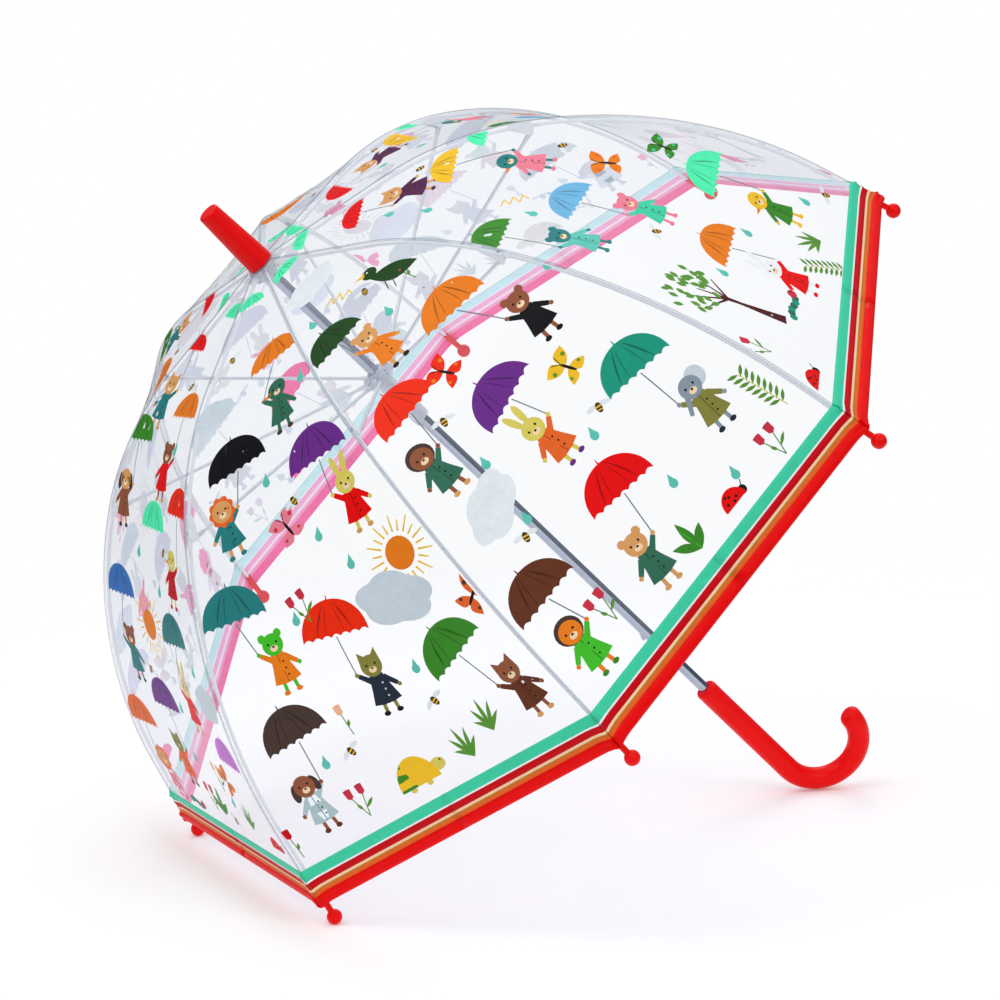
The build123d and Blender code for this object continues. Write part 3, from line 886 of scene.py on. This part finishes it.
def tree_gore(d):
    """The gore with the tree."""
    umbrella(Pen(d, 38, 3), "spring", 25)
    pair(d, 84, 6, "red", 128, 12, "cat", "tan", "plum", 0, "plum", 34)
    pair(d, 157, 30, "yellow", 214, 30, "beak", "teal", "pink", 0, "pink", 40)
    pair(d, 204, -60, "green", 262, -54, "bear", "teal", "aqua", -6, "teal", 46)
    umbrella(Pen(d, 178, 66), "spring", 34)
    pair(d, 252, -8, "sky", 304, -2, "bear", "pink", "mint", -14, "pink", 46)
    pair(d, 361, -12, "orange", 413, -16, "rabbit", "white", "red", -4, "red", 48)
    pair(d, 344, 61, "spring", 396, 52, "beak", "yellow", "green", 0, "yellow", 50)
    tree(d, 372, -72, 8)
    butterfly(d, 274, 40, "orange", "tangerine", 12, 1.0)
    butterfly(d, 312, 72, "green", "mint", -10, 0.9)
    lightning(d, 214, -16, -64)
    caterpillar(d, 420, -46, 4)
    ladybird(d, 440, -112)
    twig(d, 442, 14, 30)
    grass(d, 428, 34, 40)
    flower(d, 396, -112, "rose", 20)
    strew(d, ((366, -44), (380, 12), (228, -30), (150, -20), (420, 76), (118, -12)),
          ((316, -24), (136, 34), (240, 52), (436, 96)), 30)


def end_gore(d):
    """The gore that the umbrella lies on."""
    umbrella(Pen(d, 44, 10), "spring", 28)
    pair(d, 75, -22, "red", 122, -26, "cat", "tan", "teal", 4, "tan", 30)
    pair(d, 124, 20, "orange", 172, 14, "bear", "nut", "red", 4, "tan", 42)
    pair(d, 150, -44, "green", 200, -52, "flop", "tan", "nut", 4, "umber", 42)
    pair(d, 194, 56, "scarlet", 246, 46, "beak", "straw", "crimson", 0, "crimson", 44)
    umbrella(Pen(d, 210, 6), "spring", 44)
    pair(d, 268, -62, "blue", 320, -60, "bear", "nut", "teal", 0, "navy", 48)
    pair(d, 290, 34, "teal", 342, 36, "rabbit", "sand", "red", 4, "tan", 50)
    sun(d, 292, -14)
    pair(d, 350, -24, "purple", 402, -36, "cat", "olive", "tangerine", 0, "umber", 50)
    umbrella(Pen(d, 372, 84), "lilac", 46)
    cloud(d, 333, 80, "grey", 44)
    pair(d, 376, -92, "tangerine", 426, -88, "mane", "tan", "pink", 0, "rose", 48)
    leaves(d, 430, 8)
    grass(d, 428, 66, -8)
    flower(d, 430, -8, "rose")
    flower(d, 404, 32, "peach")
    butterfly(d, 402, 52, "orange", "rose", 30)
    ladybird(d, 440, 104)
    caterpillar(d, 446, -56)
    strew(d, ((156, 26), (238, -22), (262, 16), (312, 66), (352, 8), (396, -8), (420, 44)),
          ((232, 28), (330, -34), (440, 28), (108, 8)), -30)


drawings = (tree_gore, front_gore, side_gore, end_gore, end_gore, front_gore, side_gore, tree_gore)
ink_start = 0.00014
ink_step = 0.00003
ink_skin = 0.00003
cut_start = 0.03
cut_step = 0.011
hem_gap = 0.0005
seam_share = 0.012
any_angle = 3.1
# Inside, inks are mixed most of the way to this pale colour: partly the ink's pale underside, partly
# painted backlight.
pale_back_and_backlight = colour(234, 239, 247)
pale_back_and_backlight_share = 0.83

pigment = Finish("screened_ink")
shade = pigment.node("VertexColor", {"layer_name": "ink"})
outside = pigment.node("VertexColor", {"layer_name": "ink"}, output=1)
grain = pigment.noise(260, 5)
drift = pigment.noise(60, 3)
wash = pigment.node("Mix", {"data_type": "RGBA", "blend_type": "MULTIPLY"}, {
    0: 1.0,
    6: shade,
    7: pigment.node("ValToRGB", {"stops": [(0.3, (0.88, 0.88, 0.88, 1)), (0.7, (1, 1, 1, 1))]},
                    {0: grain * 0.6 + drift * 0.4}),
}, output=2)
pigment.show(pigment.node("BsdfPrincipled", {}, {
    "Base Color": wash,
    "Roughness": 0.34 + grain * 0.2,
    "Specular IOR Level": 0.08,
    "Coat Weight": 0.02,
    "Coat Roughness": 0.15,
    # Painted backlight: the inside faces, whose alpha is 0, glow in their ink's colour in place of light
    # coming through the film.
    "Emission Color": pigment.blend(outside, wash, (0, 0, 0, 1)),
    "Emission Strength": 0.24,
    "Normal": pigment.bump(grain, 0.0001),
}))


def inside_colour(name):
    """The ink as it looks from inside, through its pale underside and brightened with painted backlight.
    Its alpha of 0 marks that side.
    """
    if name in inside_backlit_tint:
        return colour(*inside_backlit_tint[name])[:3] + (0,)
    full = colour(*palette[name])[:3]
    return tuple((1 - pale_back_and_backlight_share) * a + pale_back_and_backlight_share * b for a, b in zip(full, pale_back_and_backlight)) + (0,)


def stacked(drawn):
    """Gives each shape a layer of its own above the earlier shapes that it may overlap."""
    boxes = []
    for points, ink in drawn:
        across, down = zip(*points)
        left, right, top, bottom = min(across), max(across), min(down), max(down)
        layer = 1 + max((under for a, b, c, d, under in boxes
                         if a < right and b > left and c < bottom and d > top), default=-1)
        boxes.append((left, right, top, bottom, layer))
        yield points, ink, layer


def flat_print(gore):
    """Draws a gore's print, and cuts it small enough to follow the film. Gives cut faces by half."""
    drawn = []
    drawings[gore - 1](drawn)
    sheet = bmesh.new()
    ink_of = sheet.faces.layers.int.new("ink")
    layer_of = sheet.faces.layers.int.new("layer")
    for points, ink, layer in stacked(drawn):
        face = sheet.faces.new([sheet.verts.new((x / 1000, y / 1000, 0)) for x, y in points])
        face[ink_of], face[layer_of] = ink_names.index(ink), layer
    bmesh.ops.triangulate(sheet, faces=sheet.faces[:])
    bmesh.ops.join_triangles(sheet, faces=sheet.faces[:], angle_face_threshold=any_angle,
                             angle_shape_threshold=any_angle)

    def cut(place, normal, drop_side=False):
        bmesh.ops.bisect_plane(sheet, geom=sheet.verts[:] + sheet.edges[:] + sheet.faces[:],
                               dist=1e-7, plane_co=place, plane_no=normal, clear_outer=drop_side)

    print_end = film_down - hem_width
    for down in (*np.arange(cut_start, elbow_down, cut_step), elbow_down,
                 *np.arange(elbow_down + cut_step, print_end, cut_step)):
        cut((0, down, 0), (0, 1, 0))
    cut((0, print_end - hem_gap, 0), (0, 1, 0), True)
    for vert in sheet.verts:
        vert.co.x = 0.5 + vert.co.x / float(gore_width(vert.co.y))
    for tenth in range(1, 10):
        cut((tenth / 10, 0, 0), (1, 0, 0))
    cut((1 - seam_share, 0, 0), (1, 0, 0), True)
    cut((seam_share, 0, 0), (-1, 0, 0), True)
    halves = {}
    for face in sheet.faces:
        middle = face.calc_center_median()
        if middle.y > print_end or abs(middle.x - 0.5) > 0.5 - seam_share:
            continue
        key = (middle.y > elbow_down, middle.x < 0.5)
        corners = [(vert.co.x, vert.co.y) for vert in face.verts]
        halves.setdefault(key, []).append((corners, face[ink_of], face[layer_of]))
    sheet.free()
    return halves


def skin(gore, faces):
    """Closed skins of ink from flat faces, with their colours: both sides, and walls all round."""
    place, columns, tops, inks, walls = {}, [], [], [], {}
    for corners, ink, layer in faces:
        ring = []
        for share, down in corners:
            key = (round(share, 6), round(down, 7), ink, layer)
            if key not in place:
                place[key] = len(columns)
                columns.append((down, share, layer))
            if place[key] not in ring:
                ring.append(place[key])
        if len(ring) < 3:
            continue
        tops.append(ring)
        inks.append(ink)
        for a, b in zip(ring, ring[1:] + ring[:1]):
            if (b, a) in walls:
                del walls[b, a]
            else:
                walls[a, b] = ink
    down, share, layer = np.array(columns).T
    lift = ink_start + layer * ink_step
    outer = on_film(gore, down, share, lift + ink_skin)
    inner = on_film(gore, down, share, lift)
    count = len(columns)
    points = np.concatenate([outer, inner])
    a, b, c = (points[i] for i in tops[0][:3])
    middle = (gore - 0.5) * gore_angle
    out = np.array([math.cos(middle), math.sin(middle), 1])
    if np.dot(np.cross(b - a, c - a), out) < 0:
        tops = [ring[::-1] for ring in tops]
        walls = {(second, first): ink for (first, second), ink in walls.items()}
    made = [tuple(ring) for ring in tops]
    made += [tuple(i + count for i in ring[::-1]) for ring in tops]
    made += [(second, first, first + count, second + count) for first, second in walls]
    paints = [colour(*palette[ink_names[ink]]) for ink in inks]
    paints += [inside_colour(ink_names[ink]) for ink in inks]
    paints += [colour(*palette[ink_names[ink]]) for ink in walls.values()]
    return points, made, paints


def painted_mesh(name, points, faces, paints):
    mesh = mesh_of(name, points, faces)
    layer = mesh.color_attributes.new("ink", "FLOAT_COLOR", "CORNER")
    values = []
    for face, paint in zip(mesh.polygons, paints):
        values.extend(paint * face.loop_total)
    layer.data.foreach_set("color", values)
    return mesh


ink_layers = {}
for gore in rib_numbers:
    for (lower, near), faces in flat_print(gore).items():
        n, side = (gore, 1) if near else (gore % 8 + 1, -1)
        ink_layers[n, side, lower] = skin(gore, faces)

# Hem
# The film's edge is printed in seven stripes, and its red outer stripe is rolled round and welded, so
# it stands up like piping. At the ribs the corner is gathered into the red tip.
stripes = (("mint", 0.0077), ("white", 0.0012), ("crimson", 0.005), ("cream", 0.0018),
           ("ochre", 0.0013), ("tangerine", 0.0026), ("red", 0.0084))
stripe_rise = {"mint": 0.0002, "white": 0.0001, "crimson": 0.0007, "cream": 0.0001,
               "ochre": 0.0001, "tangerine": 0.0005, "red": 0.0021}
hem_lift = 0.00045
hem_back_lift = 0.0001
stripe_steps = 4
piping_steps = 10
gather_share = 0.06
gather_run = 0.011
gather_pull = 0.0015
gather_flattening = 0.35


def hem_section():
    """Across the hem: distance down, height off the film, and the stripe that starts there."""
    section = []
    down = film_down - hem_width
    for name, width in stripes:
        steps = piping_steps if name == "red" else stripe_steps
        for i in range(steps):
            x = i / steps
            rise = stripe_rise[name] * math.sqrt(max(0, 1 - (2 * x - 1) ** 2))
            section.append((down + width * x, hem_lift + rise, name))
        down += width
    section.append((film_down, hem_lift, "red"))
    return section


def pucker(down, away):
    """How far the gathered corner stands off the film, in two ripples that cross."""
    return 0.0012 + 0.0006 * np.sin(down * 1100) + 0.0005 * np.sin(away * 1500 + down * 400)


def hem_half(gore, side):
    """Half a gore's hem, as a closed strip with its faces' colours and which of them are smooth."""
    section = hem_section()
    shares = np.concatenate([np.linspace(0, gather_share, 9)[:-1], np.linspace(gather_share, 0.5, 16)])
    if side < 0:
        shares = 1 - shares
    width = gore_width(film_down)
    outer, inner = [], []
    for down, rise, name in section:
        away = np.minimum(shares, 1 - shares) * width
        pinch = np.clip(1 - away / gather_run, 0, 1)
        rest = (down - (film_down - hem_width)) / hem_width
        pulled = down + pinch ** 2 * gather_pull * rest
        lift = rise * (1 - gather_flattening * pinch) + pinch * pucker(down, away)
        outer.append(on_film(gore, pulled, shares, lift))
        inner.append(on_film(gore, pulled, shares, hem_back_lift))
    columns = len(shares)
    rows = len(section)
    points = np.concatenate([np.array(outer).reshape(-1, 3), np.array(inner).reshape(-1, 3)])
    base = rows * columns
    faces, paints, smooth = [], [], []

    def add(face, paint, round_off=True):
        faces.append(face if side > 0 else face[::-1])
        paints.append(paint)
        smooth.append(round_off)

    for row in range(rows - 1):
        name = section[row][2]
        # Inside faces take the pale colour with painted backlight, and glow.
        full, pale = colour(*palette[name]), inside_colour(name)
        for column in range(columns - 1):
            a = row * columns + column
            add((a, a + columns, a + columns + 1, a + 1), full)
            b = a + base
            add((b, b + 1, b + columns + 1, b + columns), pale)
        for column, way in ((0, 1), (columns - 1, -1)):
            a = row * columns + column
            wall = (a, a + base, a + base + columns, a + columns)
            add(wall if way > 0 else wall[::-1], full, False)
    for row, way in ((0, -1), (rows - 1, 1)):
        name = section[row][2]
        for column in range(columns - 1):
            a = row * columns + column
            wall = (a, a + base, a + base + 1, a + 1)
            add(wall if way > 0 else wall[::-1], colour(*palette[name]), False)
    return points, faces, paints, smooth


for (n, side, lower), (points, faces, paints) in ink_layers.items():
    label = half_name("print", n, side, lower)
    smooth = [False] * len(faces)
    if lower:
        hem_points, hem_faces, hem_paints, hem_smooth = hem_half(gore_beside(n, side), side)
        smooth += hem_smooth
        faces = faces + [tuple(i + len(points) for i in face) for face in hem_faces]
        points = np.concatenate([points, hem_points])
        paints = paints + hem_paints
    piece = stand(label, painted_mesh(label, points, faces, paints), False)
    piece.data.polygons.foreach_set("use_smooth", smooth)
    piece.data.validate()
    pigment.cover(piece)
    fold_with_rib(piece, n, side, lower)
    film, cut, area = film_pieces[label.replace("print", "film")]

# Floor, light and camera
# The umbrella lies on two rib tips and its crook on a white table, so the table slopes in the
# object's own frame. Three large soft lights stand over it, and the white goes on behind.
floor_up = Vector((0.651, 0.270, 0.710)).normalized()
floor_drop = -0.0552
floor_radius = 1.3
middle = Vector((0, 0, 0.28))
floor_middle = middle - floor_up * (middle.dot(floor_up) - floor_drop)
turn_floor = floor_up.to_track_quat("Z", "Y").to_matrix().to_4x4()
disc = bmesh.new()
bmesh.ops.create_circle(disc, cap_ends=True, segments=96, radius=floor_radius)
disc.transform(Matrix.Translation(floor_middle) @ turn_floor)
floor_mesh = bpy.data.meshes.new("table")
disc.to_mesh(floor_mesh)
floor = stand("table", floor_mesh, False)
paper = Finish("white_table")
floor_place = paper.node("TexCoord", output=3)
reach = paper.node("VectorMath", {"operation": "DISTANCE"}, {0: floor_place, 1: floor_middle}, output=1)
fade = paper.node("MapRange", {"interpolation_type": "SMOOTHSTEP"}, {
    "Value": reach, "From Min": floor_radius * 0.4, "From Max": floor_radius * 0.9})
tooth = paper.noise(40, 3)
matt = paper.node("BsdfDiffuse", {}, {
    "Color": paper.blend(tooth, (0.9, 0.89, 0.895, 1), (0.92, 0.91, 0.915, 1))})
gone = paper.node("BsdfTransparent")
behind = paper.node("NewGeometry", output=6)
away = paper.node("Math", {"operation": "MAXIMUM"}, {0: fade, 1: behind})
glow = paper.node("Emission", {}, {"Color": (1, 0.97, 0.98, 1), "Strength": 0.12})
lit = paper.node("AddShader", {}, {0: matt, 1: glow})
paper.show(paper.node("MixShader", {}, {0: away, 1: lit, 2: gone}))
paper.cover(floor)

studio = Finish("studio", bpy.data.worlds)
bpy.context.scene.world = studio.material
height = studio.node("VectorMath", {"operation": "DOT_PRODUCT"}, {
    0: studio.node("TexCoord"), 1: floor_up}, output=1)
strength = studio.node("MapRange", {}, {
    "Value": height, "From Min": -0.6, "From Max": 0.9, "To Min": 0.44, "To Max": 0.8})
soft_air = studio.node("Background", {}, {"Color": (0.95, 0.97, 1.0, 1), "Strength": strength})
walls = studio.node("ValToRGB", {"stops": [
    (0.3, (0.3, 0.32, 0.36, 1)), (0.5, (0.05, 0.06, 0.08, 1)),
    (0.68, (0.16, 0.19, 0.24, 1)), (0.95, (1, 1, 1, 1))]}, {0: 0.5 + height * 0.5})
mirrored = studio.node("Background", {}, {"Color": walls})
white = studio.node("Background", {}, {"Color": (1, 1, 1, 1)})
round_about = studio.node("MixShader", {}, {
    0: studio.node("LightPath", output="Is Glossy Ray"), 1: soft_air, 2: mirrored})
studio.show(studio.node("MixShader", {}, {
    0: studio.node("LightPath", output="Is Camera Ray"), 1: round_about, 2: white}), "World")

camera_place = Vector((0.3911, -2.0784, 1.2452))
camera_right = Vector((0.735, -0.1653, -0.6577))
camera_ahead = Vector((-0.17, 0.8939, -0.4147)).normalized()
camera_up = camera_right.cross(camera_ahead).normalized()
camera_right = camera_ahead.cross(camera_up)
camera = bpy.data.cameras.new("camera")
camera.lens = 115.5
camera.sensor_width = 36
camera.clip_start, camera.clip_end = 0.05, 30
eye = bpy.data.objects.new("camera", camera)
eye.matrix_world = Matrix((
    (camera_right.x, camera_up.x, -camera_ahead.x, camera_place.x),
    (camera_right.y, camera_up.y, -camera_ahead.y, camera_place.y),
    (camera_right.z, camera_up.z, -camera_ahead.z, camera_place.z),
    (0, 0, 0, 1)))
bpy.context.collection.objects.link(eye)
bpy.context.scene.camera = eye

floor_right = camera_right - floor_up * camera_right.dot(floor_up)
floor_right.normalize()
floor_front = floor_right.cross(floor_up)
if floor_front.dot(camera_ahead) > 0:
    floor_front = -floor_front
for label, place, size, power in (
    ("key_light", (-0.9, 0.8, 1.9), 1.4, 15),
    ("front_light", (1.3, 1.8, 1.2), 1.2, 9),
    ("back_light", (0.3, -1.7, 1.6), 1.0, 8),
):
    lamp = bpy.data.lights.new(label, "AREA")
    lamp.shape = "SQUARE"
    lamp.size = size
    lamp.energy = power
    stand_at = middle + floor_right * place[0] + floor_front * place[1] + floor_up * place[2]
    light = bpy.data.objects.new(label, lamp)
    light.location = stand_at
    light.rotation_mode = "QUATERNION"
    light.rotation_quaternion = (stand_at - middle).to_track_quat("Z", "Y")
    bpy.context.collection.objects.link(light)

scene = bpy.context.scene
scene.view_settings.view_transform = "Standard"
scene.cycles.transparent_max_bounces = 48
